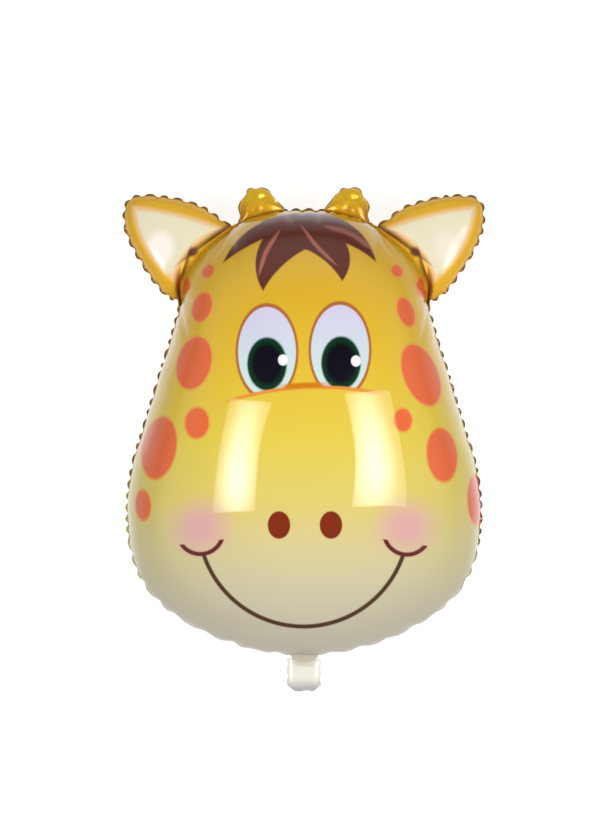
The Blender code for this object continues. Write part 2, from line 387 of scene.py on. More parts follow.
# %% Rings of points to a mesh
def bridge(first, second):
    """Faces between two rings of point numbers, equal or one half the other."""
    if len(first) == len(second):
        return np.c_[first, np.roll(first, -1), np.roll(second, -1), second].tolist()
    if len(second) == 2 * len(first):
        following = np.roll(first, -1)
        start, middle = second[::2], second[1::2]
        stop = np.roll(start, -1)
        return (np.c_[first, middle, start].tolist() + np.c_[first, following, middle].tolist()
                + np.c_[following, stop, middle].tolist())
    start, middle = first[::2], first[1::2]
    stop = np.roll(start, -1)
    following = np.roll(second, -1)
    return (np.c_[start, middle, second].tolist() + np.c_[middle, following, second].tolist()
            + np.c_[middle, stop, following].tolist())


def lobe_object(name, lobe, shift, collection, part="head"):
    """A closed mesh object from a lobe's rings, with how dark and how far out each point is."""
    rings, tips = lobe
    points = np.vstack([tips[0]] + [ring[0] for ring in rings] + [tips[1]]) + shift
    points[:, 2] = np.maximum(points[:, 2], 0.0)
    starts = 1 + np.r_[0, np.cumsum([len(ring[0]) for ring in rings])]
    numbers = [np.arange(start, stop) for start, stop in zip(starts, starts[1:])]
    last = len(points) - 1
    faces = [(0, b, a) for a, b in zip(numbers[0], np.roll(numbers[0], -1))]
    for first, second in zip(numbers, numbers[1:]):
        faces += bridge(first, second)
    faces += [(a, b, last) for a, b in zip(numbers[-1], np.roll(numbers[-1], -1))]
    mesh = bpy.data.meshes.new(name)
    mesh.from_pydata(points.tolist(), [], faces)
    corner_points = np.empty(len(mesh.loops), np.int32)
    mesh.loops.foreach_get("vertex_index", corner_points)
    for label, column in (("fold", 1), ("flange", 2)):
        values = np.r_[0.0, np.concatenate([ring[column] for ring in rings]), 0.0]
        values = values.astype(np.float32)[corner_points]
        mesh.attributes.new(label, "FLOAT", "CORNER").data.foreach_set("value", values)
    for label in ("ear", "horn"):
        values = np.full(len(faces), float(label == part), np.float32)
        mesh.attributes.new(label, "FLOAT", "FACE").data.foreach_set("value", values)
    mesh.update()
    made = bpy.data.objects.new(name, mesh)
    collection.objects.link(made)
    return made


# %% [markdown]
# ## Joining the lobes
#
# The head, ears, horns and neck are one film. Their meshes overlap, so one exact Boolean joins them
# and takes away what lies inside. It isn't perfect: two faces come out doubled, and some edges are
# shared by four faces, though neither shows in a picture.
#
# How dark a fold's painted shade is, how far out on the weld a place lies, and which lobe it is on are
# kept as attributes for the print and its painted shade. They are kept on faces and on the corners of
# faces, because the Boolean loses what the other lobes have on their points. Creases fan out from the
# corners where the ears meet the head, as they do wherever a balloon's outline turns inward, and the
# ears and horns have a few soft dents besides.

# %% Creases and dents: each crease is (place, row, heading, length, depth, width)
rng = np.random.default_rng(11)
shift = np.array([0.0, CHIN_Y, SEAM_Z])
film_parts = bpy.data.collections.new("film_parts")
bpy.context.scene.collection.children.link(film_parts)

head_length = lengths(np.vstack([head_outline, head_outline[:1]]))[-1]
ear_top, ear_bottom = (crown_place(head_outline, share) for share in EAR_ROOTS)
horn_inner = crown_place(head_outline, HORN_ROOTS[0])
CORNER_CREASES = [
    (ear_bottom, 0.020, 70, 0.120, 0.0020, 0.0050),
    (ear_bottom - 0.004, 0.022, 105, 0.085, 0.0014, 0.0045),
    (ear_bottom + 0.006, 0.012, 40, 0.070, 0.0012, 0.0040),
    (ear_top, 0.018, 80, 0.110, 0.0020, 0.0050),
    (ear_top + 0.008, 0.020, 108, 0.090, 0.0014, 0.0045),
    (horn_inner, 0.012, 95, 0.060, 0.0016, 0.0035),
]
MIRRORED_CREASES = [
    (head_length - place, row, 180 - heading, length, depth, width)
    for place, row, heading, length, depth, width in CORNER_CREASES
]
print("creases:", len(CORNER_CREASES + MIRRORED_CREASES))

# %% The head's film
jaw_top, jaw_bottom = CHIN_PITCH_HEIGHTS
chin_share = smooth_step((jaw_top - head_outline[:, 1]) / (jaw_top - jaw_bottom))
head_pitch = PUCKER_PITCH + (CHIN_PITCH - PUCKER_PITCH) * chin_share
head_seam = SEAM_WIDTH + (CHIN_SEAM - SEAM_WIDTH) * chin_share
head_lobe = film_lobe(head_outline, np.array([0.0, HEAD_CENTRE * HEAD_HEIGHT]), HEAD_DEPTH, rng,
                      fold_depth=0.0036, fold_reach=0.032, creases=CORNER_CREASES + MIRRORED_CREASES,
                      flute=0.0007, pitch=head_pitch, seam=head_seam)
head_film = lobe_object("giraffe_film", head_lobe, shift, film_parts)

# %% The other lobes: each dent is (across, up, reach, depth), and a negative one swells
joined = bpy.data.collections.new("joined_lobes")
HORN_DENTS = [
    (-0.008, 0.005, 0.0065, 0.0026), (0.007, 0.001, 0.0050, 0.0022),
    (0.001, 0.010, 0.0055, -0.0012), (-0.002, -0.008, 0.0060, 0.0018),
]
EAR_DENTS = [(-0.010, 0.012, 0.020, 0.0016), (0.014, -0.006, 0.016, 0.0012)]
EAR_FOLDS = {"fold_depth": 0.0024, "fold_reach": 0.022, "pitch": EAR_PITCH, "seam": EAR_SEAM}
HORN_FOLDS = {"fold_depth": 0.0008, "fold_reach": 0.008, "pitch": HORN_PITCH, "seam": HORN_SEAM}
small_lobes = [
    ("ear", ear_outline, ear_middle, EAR_DEPTH, EAR_FOLDS, EAR_DENTS),
    ("horn", horn_outline, horn_middle, HORN_DEPTH, HORN_FOLDS, HORN_DENTS),
]
for part, outline, middle, depth, lobe_folds, dents in small_lobes:
    pair = (("right", outline, middle), ("left", flipped(outline), middle * np.array([-1, 1])))
    for label, loop, centre in pair:
        lobe = film_lobe(loop, centre, depth, rng, dents=dents, halve_at=(0.02, 0.045), **lobe_folds)
        lobe_object(f"{label}_{part}_film", lobe, shift, joined, part)
side, end = NECK_WIDTH / 2, NECK_END_WIDTH / 2
half_neck = [(side, NECK_OVERLAP), (side, 0.0), (end, -NECK_LENGTH)]
neck_outline = np.array(half_neck + [(-across, up) for across, up in reversed(half_neck)])
neck_lobe = film_lobe(neck_outline, neck_outline.mean(axis=0), NECK_DEPTH, rng, fold_depth=0.0003,
                      fold_reach=0.006, seam=0.0015, weld_wave=0.0003, rim_pull=0.0)
lobe_object("neck_film", neck_lobe, shift, joined)
print("head lobe:", len(head_film.data.polygons), "faces")


# %% Join them into one film
def apply_modifiers(target):
    """Replace an object's mesh with what its modifiers make of it."""
    evaluated = target.evaluated_get(bpy.context.evaluated_depsgraph_get())
    mesh = bpy.data.meshes.new_from_object(evaluated)
    target.modifiers.clear()
    target.data = mesh


def join_film(base, others):
    """One film from overlapping lobes."""
    bpy.context.scene.collection.children.link(others)
    union = base.modifiers.new("join", "BOOLEAN")
    union.operation = "UNION"
    union.solver = "EXACT"
    union.operand_type = "COLLECTION"
    union.collection = others
    apply_modifiers(base)
    for other in list(others.objects):
        bpy.data.objects.remove(other)
    bpy.data.collections.remove(others)


join_film(head_film, joined)
head_film.data.shade_smooth()
head_film.data.set_sharp_from_angle(angle=math.radians(50))
print("film:", len(head_film.data.vertices), "points,", len(head_film.data.polygons), "faces")

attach(head_film, "root")
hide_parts("envelope")

# %% [markdown]
# ## The valve sleeve
#
# Below the chin hangs the tab through which the balloon is filled: two layers of clear film welded
# to a pocket, with the foil's own tongue between them. It is one more lobe, thin and hardly puffed.
# Glass would bend what is behind it, so the film is a thin frosted plastic that lets light through.

# %% The sleeve round the tongue
SLEEVE_WIDTH = 0.043
SLEEVE_LENGTH = 0.0435
SLEEVE_CORNER = 0.013
SLEEVE_TOP = 0.0016
SLEEVE_DEPTH = 0.0052
SLEEVE_CHAMFER = 0.001
side, bottom = SLEEVE_WIDTH / 2, -SLEEVE_LENGTH
turn = np.linspace(0, math.pi / 2, 9)
corner = np.c_[side - SLEEVE_CORNER * (1 - np.cos(turn)), bottom + SLEEVE_CORNER * (1 - np.sin(turn))]
top = [(0.0, -SLEEVE_TOP), (side - SLEEVE_CHAMFER, -SLEEVE_TOP), (side, -SLEEVE_TOP - SLEEVE_CHAMFER)]
sleeve_outline = mirrored(np.vstack([top, corner, [(0.0, bottom)]]))
sleeve_lobe = film_lobe(sleeve_outline, np.array([0.0, -SLEEVE_LENGTH * 0.52]), SLEEVE_DEPTH, rng,
                        fold_depth=0.0004, fold_reach=0.012, seam=0.0016, weld_wave=0.0003,
                        rim_pull=0.01)
sleeve_film = lobe_object("sleeve_film", sleeve_lobe, shift, bpy.context.scene.collection)
sleeve_film.data.shade_smooth()
sleeve_film.data.set_sharp_from_angle(angle=math.radians(50))
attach(sleeve_film, "root")
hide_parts("valve_sleeve")
print("sleeve:", len(sleeve_film.data.polygons), "faces")

# %% [markdown]
# ## Camera, light and floor
#
# The balloon lies on its back, so the camera looks straight down on it, as far away as it would be
# in a studio. It lies on a white light table, which gives the photograph its clean white ground.

# %% The camera above
PHOTO_SCALE = 0.001225
PHOTO_WIDTH = 600
PHOTO_HEIGHT = 840
PHOTO_MIDDLE_COLUMN = 304.0
PHOTO_CHIN_ROW = 656.0
CAMERA_DISTANCE = 2.6


def from_photo(column, row):
    """Where a point of the photograph lies in the seam plane."""
    across = (column - PHOTO_MIDDLE_COLUMN) * PHOTO_SCALE
    return across, CHIN_Y + (PHOTO_CHIN_ROW - row) * PHOTO_SCALE


camera_x, camera_y = from_photo(PHOTO_WIDTH / 2, PHOTO_HEIGHT / 2)
camera = bpy.data.objects.new("camera", bpy.data.cameras.new("camera"))
camera.data.sensor_fit = "VERTICAL"
camera.data.sensor_height = 24.0
camera.data.lens = camera.data.sensor_height * CAMERA_DISTANCE / (PHOTO_HEIGHT * PHOTO_SCALE)
camera.location = (camera_x, camera_y, SEAM_Z + CAMERA_DISTANCE)
bpy.context.scene.collection.objects.link(camera)
bpy.context.scene.camera = camera
print("camera at", tuple(round(v, 3) for v in camera.location), "lens", round(camera.data.lens, 1))

# %% [markdown]
# ## The soft boxes
#
# Two large soft boxes hang above the balloon, left and right, turned towards it. Their reflections
# are the two tall panes of light on the muzzle, and a foil balloon without such reflections looks
# like plastic. The cloth of a real soft box is brightest where the lamp stands behind it, so each
# pane has a bright core and dimmer sides.

# %% Two area lights with bright cores
BOX_GLOW = 1.0
BOX_CORE_GLOW = 6.3


def soft_box(name, place, turn, width, height, power, core, core_reach):
    """A rectangular area light, with a bright core where the lamp stands behind the cloth."""
    light = bpy.data.lights.new(name, "AREA")
    light.shape = "RECTANGLE"
    light.size = width
    light.size_y = height
    light.energy = power
    light.use_nodes = True
    tree = light.node_tree
    across = tree.nodes.new("ShaderNodeMapping")
    across.vector_type = "TEXTURE"
    across.inputs["Location"].default_value = (*core, 0.0)
    across.inputs["Scale"].default_value = (*core_reach, 1.0)
    geometry = tree.nodes.new("ShaderNodeNewGeometry")
    tree.links.new(geometry.outputs["Parametric"], across.inputs["Vector"])
    from_core = tree.nodes.new("ShaderNodeVectorMath")
    from_core.operation = "LENGTH"
    tree.links.new(across.outputs[0], from_core.inputs[0])
    glow = tree.nodes.new("ShaderNodeMapRange")
    glow.interpolation_type = "SMOOTHSTEP"
    for index, value in enumerate((0.0, 1.0, BOX_CORE_GLOW, BOX_GLOW), start=1):
        glow.inputs[index].default_value = value
    tree.links.new(from_core.outputs["Value"], glow.inputs[0])
    tree.links.new(glow.outputs[0], tree.nodes["Emission"].inputs["Strength"])
    made = bpy.data.objects.new(name, light)
    made.location = place
    made.rotation_euler = [math.radians(angle) for angle in turn]
    bpy.context.scene.collection.objects.link(made)


soft_box("soft_box_left", place=(-0.607, -0.18, 1.9), turn=(-15.7, -57.8, -5.7), width=0.838,
         height=0.929, power=6.7, core=(0.54, 0.5), core_reach=(0.60, 0.80))
soft_box("soft_box_right", place=(0.759, -0.082, 1.9), turn=(-1.7, 53.1, 5.6), width=1.079,
         height=0.904, power=8.5, core=(0.38, 0.5), core_reach=(0.58, 0.80))
print("lights:", [light.name for light in bpy.data.lights])

# %% [markdown]
# ## The room and the light table
#
# A foil balloon mirrors all that is round it, so the room matters as much as the lights. Its
# brightness follows the height: grey at the horizon, brightest a little above it, where white
# walls would be, and dark overhead, which leaves the soft boxes standing out. The walls beyond the
# crown and the chin are brighter than those at the sides, so two curves are mixed by direction.
#
# The light table glows only as far as the camera sees. Beyond it the floor is plain grey and runs
# on far enough to meet the horizon, because a gap there would show as a dark line in the film.

# %% The room's brightness by height, beside the balloon and beyond its ends
SKY_BESIDE = [(0.0, 0.32), (0.35, 0.62), (0.60, 0.45), (0.80, 0.12), (1.0, 0.08)]
SKY_BEYOND = [(0.0, 0.32), (0.25, 0.80), (0.50, 0.85), (0.80, 0.12), (1.0, 0.08)]
SKY_COLOUR = (0.96, 0.98, 1.0, 1.0)
SIDE_REACH = 0.7

world = bpy.data.worlds.new("studio")
world.use_nodes = True
sky = world.node_tree
direction = sky.nodes.new("ShaderNodeSeparateXYZ")
sky.links.new(sky.nodes.new("ShaderNodeTexCoord").outputs["Generated"], direction.inputs[0])
to_side = sky.nodes.new("ShaderNodeMath")
to_side.operation = "ABSOLUTE"
sky.links.new(direction.outputs[0], to_side.inputs[0])
brightness = sky.nodes.new("ShaderNodeMapRange")
brightness.interpolation_type = "SMOOTHSTEP"
brightness.inputs[1].default_value = 0.0
brightness.inputs[2].default_value = SIDE_REACH
sky.links.new(to_side.outputs[0], brightness.inputs[0])
for index, stops in ((3, SKY_BEYOND), (4, SKY_BESIDE)):
    by_height = sky.nodes.new("ShaderNodeFloatCurve")
    curve = by_height.mapping.curves[0]
    curve.points[0].location = stops[0]
    curve.points[1].location = stops[-1]
    for height, light in stops[1:-1]:
        curve.points.new(height, light)
    by_height.mapping.update()
    sky.links.new(direction.outputs[2], by_height.inputs["Value"])
    sky.links.new(by_height.outputs[0], brightness.inputs[index])
sky.links.new(brightness.outputs[0], sky.nodes["Background"].inputs["Strength"])
sky.nodes["Background"].inputs["Color"].default_value = SKY_COLOUR
bpy.context.scene.world = world
bpy.context.scene.view_settings.view_transform = "Standard"
print("room:", len(sky.nodes), "nodes")

# %% The light table and the floor beyond it
FLOOR_WIDTH = 60.0
FLOOR_DROP = 0.0005
FLOOR_PAINT = 0.80
TABLE_PAINT = 0.30
TABLE_GLOW = 0.82
TABLE_HALF = (0.385, 0.53)
TABLE_SOFT_EDGE = 0.12
bpy.ops.mesh.primitive_plane_add(size=FLOOR_WIDTH, location=(camera_x, camera_y, -FLOOR_DROP))
floor = bpy.context.object
floor.name = "floor"
floor_paint = bpy.data.materials.new("floor_paint")
floor_paint.use_nodes = True
floor_shader = floor_paint.node_tree.nodes["Principled BSDF"]
floor_shader.inputs["Roughness"].default_value = 0.9
floor_shader.inputs["Emission Color"].default_value = (1.0, 1.0, 1.0, 1.0)
floor_tree = floor_paint.node_tree
beside = floor_tree.nodes.new("ShaderNodeVectorMath")
beside.operation = "ABSOLUTE"
floor_place = floor_tree.nodes.new("ShaderNodeTexCoord")
floor_tree.links.new(floor_place.outputs["Object"], beside.inputs[0])
beside_split = floor_tree.nodes.new("ShaderNodeSeparateXYZ")
floor_tree.links.new(beside.outputs[0], beside_split.inputs[0])
on_table = floor_tree.nodes.new("ShaderNodeMath")
on_table.operation = "MULTIPLY"
for axis, half in enumerate(TABLE_HALF):
    edge = floor_tree.nodes.new("ShaderNodeMapRange")
    edge.interpolation_type = "SMOOTHSTEP"
    for index, value in enumerate((half, half + TABLE_SOFT_EDGE, 1.0, 0.0), start=1):
        edge.inputs[index].default_value = value
    floor_tree.links.new(beside_split.outputs[axis], edge.inputs[0])
    floor_tree.links.new(edge.outputs[0], on_table.inputs[axis])
FLOOR_LEVELS = [("Base Color", FLOOR_PAINT, TABLE_PAINT), ("Emission Strength", 0.0, TABLE_GLOW)]
for socket, beyond, within in FLOOR_LEVELS:
    level = floor_tree.nodes.new("ShaderNodeMapRange")
    for index, value in enumerate((0.0, 1.0, beyond, within), start=1):
        level.inputs[index].default_value = value
    floor_tree.links.new(on_table.outputs[0], level.inputs[0])
    floor_tree.links.new(level.outputs[0], floor_shader.inputs[socket])
floor.data.materials.append(floor_paint)
print("floor:", FLOOR_WIDTH, "m wide")

# %% [markdown]
# ## The print
#
# The face could be an image mapped on the film, but nodes keep every edge sharp at any size and need
# no file. The printer lays the face on the flat film from straight above, so the pattern is worked
# out where a ray from a point high above the face meets the seam plane. It is measured in steps
# of 1.225 mm across and down, the size of one dot of the photograph.
#
# Each mark is one of three things: an ellipse, a stroke along an arc, or a patch whose sides are
# arcs. All three give a distance, and a soft threshold on that distance is the mask that lays one
# colour over those before it.

# %% Colours of the inks
INK_SPOT = (0.69, 0.125, 0.036)
INK_SPOT_HALO = (0.70, 0.30, 0.05)
INK_HAIR = (0.100, 0.014, 0.003)
INK_HAIR_LIGHT = (0.42, 0.13, 0.085)
INK_HAIR_SHEEN = (0.16, 0.09, 0.09)
INK_EYE_LINE = (0.41, 0.123, 0.029)
INK_EYE_TOP = (0.574, 0.558, 0.705)
INK_EYE_LOW = (0.508, 0.656, 0.607)
INK_PUPIL_RIM = (0.002, 0.029, 0.011)
INK_PUPIL = (0.003, 0.002, 0.006)
INK_WHITE = (0.779, 0.779, 0.763)
INK_NOSTRIL = (0.185, 0.022, 0.006)
INK_SMILE = (0.07, 0.028, 0.011)
INK_CURL = (0.115, 0.012, 0.011)
INK_CHEEK = (0.62, 0.305, 0.345)
INK_GOLD = (0.74, 0.41, 0.024)
INK_HORN = (0.72, 0.43, 0.022)
INK_HORN_ROOT = (0.47, 0.22, 0.010)
INK_ORANGE = (0.656, 0.238, 0.037)
INK_BRIDGE = (0.55, 0.17, 0.002)
INK_EAR_RIM = (0.80, 0.50, 0.22)
INK_EAR_PALE = (0.74, 0.69, 0.50)
INK_EAR_HIGHLIGHT = (0.88, 0.82, 0.74)
INK_CREASE_PRINT_AND_SHADE = (0.090, 0.026, 0.007)
INK_CREASE_RED_PRINT_AND_SHADE = (0.24, 0.045, 0.010)
INK_FOLD_AND_WELD_SHADE = (0.085, 0.045, 0.035)
# The face's ink by row: the print's own gradient from yellow to cream, and partly painted shade where
# it darkens towards the chin.
FACE_ROWS = [
    (200, (0.607, 0.336, 0.025)),
    (300, (0.64, 0.389, 0.021)),
    (370, (0.656, 0.435, 0.033)),
    (440, (0.64, 0.492, 0.061)),
    (500, (0.607, 0.492, 0.123)),
    (545, (0.570, 0.490, 0.232)),
    (590, (0.51, 0.465, 0.31)),
    (656, (0.48, 0.437, 0.345)),
]


# %% A sheet to print on
class Print:
    """A material that is painted mark by mark, each over the last."""

    def __init__(self, name):
        self.material = bpy.data.materials.new(name)
        self.material.use_nodes = True
        self.tree = self.material.node_tree
        self.shader = self.tree.nodes["Principled BSDF"]
        self.place = None
        self.colour = None

    def add(self, kind, inputs=(), **settings):
        """A node with its settings, its inputs linked or set by number."""
        node = self.tree.nodes.new("ShaderNode" + kind)
        for name, value in settings.items():
            setattr(node, name, value)
        for index, value in inputs:
            if isinstance(value, bpy.types.NodeSocket):
                self.tree.links.new(value, node.inputs[index])
            else:
                node.inputs[index].default_value = value
        return node

    def number(self, operation, *values):
        """The result of a Math node."""
        return self.add("Math", enumerate(values), operation=operation).outputs[0]

    def vector(self, operation, *values):
        """The vector result of a Vector Math node."""
        return self.add("VectorMath", enumerate(values), operation=operation).outputs[0]

    def span(self, operation, *values):
        """The number result of a Vector Math node."""
        return self.add("VectorMath", enumerate(values), operation=operation).outputs["Value"]

    def between(self, value, low, high, at_low=0.0, at_high=1.0):
        """A soft step from at_low to at_high as value goes from low to high."""
        node = self.add("MapRange", ((0, value), (1, low), (2, high), (3, at_low), (4, at_high)),
                        interpolation_type="SMOOTHSTEP", clamp=True)
        return node.outputs[0]

    def paint(self, mask, ink):
        """Lay an ink over what is there, where the mask is 1."""
        if not isinstance(ink, bpy.types.NodeSocket):
            ink = (*ink, 1.0)
        node = self.add("Mix", ((0, mask), (6, self.colour), (7, ink)), data_type="RGBA")
        self.colour = node.outputs[2]


# %% Marks: ellipses, arcs and patches
MARK_EDGE = 0.7


def ellipse(sheet, column, row, half_width, half_height, tilt=0.0, place=None):
    """Distance from an ellipse's middle, 1 at its rim; a positive tilt leans it to the right."""
    mapped = sheet.add("Mapping", ((0, place or sheet.place), (1, (column, row, 0)),
                                   (2, (0, 0, math.radians(tilt))), (3, (half_width, half_height, 1))),
                       vector_type="TEXTURE")
    return sheet.span("LENGTH", mapped.outputs[0])


def inside(sheet, distance, size, grow=0.0):
    """Mask of an ellipse, from its distance and mean half size, grown by some steps."""
    rim = 1 + grow / size
    soft = MARK_EDGE / size
    return sheet.between(distance, rim - soft, rim + soft, 1.0, 0.0)


def arc_circle(start, stop, bulge):
    """Centre and radius of the circle through two points that swells left of their line by bulge."""
    start, stop = np.array(start, float), np.array(stop, float)
    along = stop - start
    length = np.linalg.norm(along)
    left = np.array([along[1], -along[0]]) / length
    radius = (length ** 2 / 4 + bulge ** 2) / (2 * abs(bulge))
    middle = (start + stop) / 2
    return middle + left * (bulge - math.copysign(radius, bulge)), radius, left, middle


def side_depth(sheet, start, stop, bulge, place):
    """How far inside one side of a patch a point is; sides run clockwise, a negative bulge goes in."""
    if bulge == 0:
        along = np.array(stop, float) - np.array(start, float)
        left = np.array([along[1], -along[0]]) / np.linalg.norm(along)
        reach = float(np.dot(left, start))
        return sheet.number("SUBTRACT", reach, sheet.span("DOT_PRODUCT", place, (*left, 0)))
    centre, radius, _, _ = arc_circle(start, stop, bulge)
    away = sheet.span("DISTANCE", place, (*centre, 0))
    if bulge > 0:
        return sheet.number("SUBTRACT", radius, away)
    return sheet.number("SUBTRACT", away, radius)


def patch(sheet, sides, place=None):
    """How far inside a patch a point is; sides are (start, stop, bulge), clockwise."""
    place = place or sheet.place
    depth = None
    for start, stop, bulge in sides:
        side = side_depth(sheet, start, stop, bulge, place)
        depth = side if depth is None else sheet.number("MINIMUM", depth, side)
    return depth


def filled(sheet, depth, grow=0.0, soft=MARK_EDGE):
    """Mask of a patch from its depth."""
    return sheet.between(depth, -soft - grow, soft - grow)


def stroke(sheet, start, stop, bulge, width, soft=MARK_EDGE, place=None):
    """Mask of a stroke along an arc between two points."""
    place = place or sheet.place
    centre, radius, left, middle = arc_circle(start, stop, bulge)
    away = sheet.span("DISTANCE", place, (*centre, 0))
    off = sheet.number("ABSOLUTE", sheet.number("SUBTRACT", away, radius))
    line = sheet.between(off, width / 2 - soft, width / 2 + soft, 1.0, 0.0)
    outer = left * math.copysign(1.0, bulge)
    chord = float(np.dot(outer, middle))
    beyond = sheet.number("SUBTRACT", sheet.span("DOT_PRODUCT", place, (*outer, 0)), chord)
    return sheet.number("MULTIPLY", line, sheet.between(beyond, -1.2, 0.2))


# %% The printed film
film = Print("printed_film")
position = film.add("TexCoord").outputs["Object"]
split = film.add("SeparateXYZ", ((0, position),))
height_above = film.number("SUBTRACT", split.outputs[2], SEAM_Z)
below_camera = film.number("SUBTRACT", CAMERA_DISTANCE, height_above)
throw = film.number("DIVIDE", CAMERA_DISTANCE, below_camera)
from_axis = film.vector("SUBTRACT", position, (camera_x, camera_y, 0))
thrown = film.add("VectorMath", ((0, from_axis), (3, throw)), operation="SCALE").outputs[0]
film.place = film.vector("MULTIPLY_ADD", thrown, (1 / PHOTO_SCALE, -1 / PHOTO_SCALE, 0),
                         (PHOTO_WIDTH / 2, PHOTO_HEIGHT / 2, 0))
place_split = film.add("SeparateXYZ", ((0, film.place),))
column, row = place_split.outputs[0], place_split.outputs[1]
aside = film.number("ABSOLUTE", film.number("SUBTRACT", column, PHOTO_MIDDLE_COLUMN))
left_column = film.number("SUBTRACT", PHOTO_MIDDLE_COLUMN, aside)
left_place = film.add("CombineXYZ", ((0, left_column), (1, row))).outputs[0]
front = film.between(height_above, -0.004, 0.001)

first_row, last_row = FACE_ROWS[0][0], FACE_ROWS[-1][0]
ramp = film.add("ValToRGB", ((0, film.between(row, first_row, last_row)),))
ramp.inputs[0].links[0].from_node.interpolation_type = "LINEAR"
while len(ramp.color_ramp.elements) < len(FACE_ROWS):
    ramp.color_ramp.elements.new(0.5)
for element, (face_row, ink) in zip(ramp.color_ramp.elements, FACE_ROWS):
    element.position = (face_row - first_row) / (last_row - first_row)
    element.color = (*ink, 1.0)
face = ramp.outputs[0]
film.colour = face
print("film sheet starts with", len(film.tree.nodes), "nodes")

# %% [markdown]
# ## Spots and ears
#
# The spots are ellipses. Each is a red one on a slightly larger orange one, which leaves a thin
# halo. They aren't cut off at the edge of the front, so they run on over the flanks.
#
# Each ear has a pale panel with a creamy rim, and dark, reddish strokes where it folds at its root:
# partly print, partly painted shade of the fold. The left and right ears share one drawing, which is
# mirrored, with a painted highlight on each panel that is stronger on the left ear, as it catches more
# light.

# %% Spots: (column, row, half width, half height, tilt)
SPOT_HALO = 1.8
SPOTS = [
    (208, 271, 6.5, 9, 35), (202, 307, 10.5, 17, 18), (194, 363, 18, 28.5, 15), (197, 423, 13, 17, 5),
    (159, 448, 18, 33, 10), (143, 505, 8.5, 17, -3), (184, 286, 7, 11, 8), (397, 271, 6.5, 8, -35),
    (406, 312, 9, 17, -20), (421, 375, 18, 34, -22), (403, 420, 10, 13, -5), (442, 455, 16, 28.5, -6),
    (476, 500, 9, 27, -2), (423, 288, 8, 12, -10),
]
for spot_column, spot_row, half_width, half_height, tilt in SPOTS:
    size = (half_width + half_height) / 2
    distance = ellipse(film, spot_column, spot_row, half_width, half_height, tilt)
    film.paint(inside(film, distance, size), INK_SPOT_HALO)
    film.paint(inside(film, distance, size, grow=-SPOT_HALO), INK_SPOT)
print("spots:", len(SPOTS))

# %% Ears
ear_zone = film.add("Attribute", attribute_name="ear").outputs["Fac"]
horn_zone = film.add("Attribute", attribute_name="horn").outputs["Fac"]
film.paint(ear_zone, INK_GOLD)
film.paint(horn_zone, INK_HORN)
HORN_ROOT_ROWS = (198, 214)
EAR_PANEL = [
    ((134, 208), (221, 229), 3.0), ((221, 229), (173, 279), -9.0), ((173, 279), (134, 208), 8.0),
]
EAR_HIGHLIGHT_SPOT = (160, 249, 19, 25, 12)
EAR_SHADE_BLOT = (193, 252, 7.5, 5.5, -40)
RIGHT_EAR_HIGHLIGHT = 0.4
MIDDLE_COLUMNS = (250, 350)
film.paint(film.number("MULTIPLY", horn_zone, film.between(row, *HORN_ROOT_ROWS)), INK_HORN_ROOT)
panel = patch(film, EAR_PANEL, left_place)
on_front = film.number("MULTIPLY", ear_zone, front)
panel_cover = film.number("MULTIPLY", filled(film, panel, grow=2.4, soft=2.0), on_front)
film.paint(panel_cover, INK_EAR_RIM)
film.paint(film.number("MULTIPLY", film.between(panel, -1.0, 4.0), on_front), INK_EAR_PALE)
# A painted highlight on each ear's pale panel, weaker on the right ear.
glow = ellipse(film, *EAR_HIGHLIGHT_SPOT, left_place)
glow = film.number("MULTIPLY", film.between(glow, 1.0, 0.4), film.between(panel, 0.0, 5.0))
glow = film.number("MULTIPLY", glow, film.between(column, *MIDDLE_COLUMNS, 1.0, RIGHT_EAR_HIGHLIGHT))
film.paint(film.number("MULTIPLY", glow, on_front), INK_EAR_HIGHLIGHT)
print("ear panel:", len(EAR_PANEL), "sides")

# %% Painted shade in the creases at the ears' roots, and where their hollow lies
EAR_HOLLOW = ((228, 227), (179, 303), -16, 24)
CREASE_SHADE_STRENGTH = 0.9
EAR_CREASE_SHADES = [
    ((225, 230), (192, 254), -1.5, 6.0, INK_CREASE_PRINT_AND_SHADE),
    ((187, 258), (180, 278), 1.0, 5.5, INK_CREASE_PRINT_AND_SHADE),
    ((180, 278), (180, 291), -0.8, 8.0, INK_CREASE_RED_PRINT_AND_SHADE),
    ((179, 290), (181, 302), -0.6, 4.4, INK_CREASE_PRINT_AND_SHADE),
]
# Dark strokes in the creases: partly print, partly painted shade of the fold.
for start, stop, bulge, width, ink in EAR_CREASE_SHADES:
    shade = stroke(film, start, stop, bulge, width, soft=3.0, place=left_place)
    film.paint(film.number("MULTIPLY", film.number("MULTIPLY", shade, front), CREASE_SHADE_STRENGTH), ink)
# A dark blot of painted shadow in the upper crease.
shade_blot = film.between(ellipse(film, *EAR_SHADE_BLOT, left_place), 1.1, 0.4)
film.paint(film.number("MULTIPLY", shade_blot, front), INK_CREASE_PRINT_AND_SHADE)
hollow = stroke(film, *EAR_HOLLOW, soft=5, place=left_place)
print("ear creases:", len(EAR_CREASE_SHADES))

# %% [markdown]
# ## The face
#
# Each eye is a stack of ellipses: a brown line, the white, a pupil with a soft greenish rim, and a
# glint. The muzzle is one big circle that is cut off at both sides. It is painted after the eyes,
# because it hides their lower ends, and then gets its orange line and the brown shade on the bridge
# of the nose. The cheeks fade out softly, as sprayed ink does.

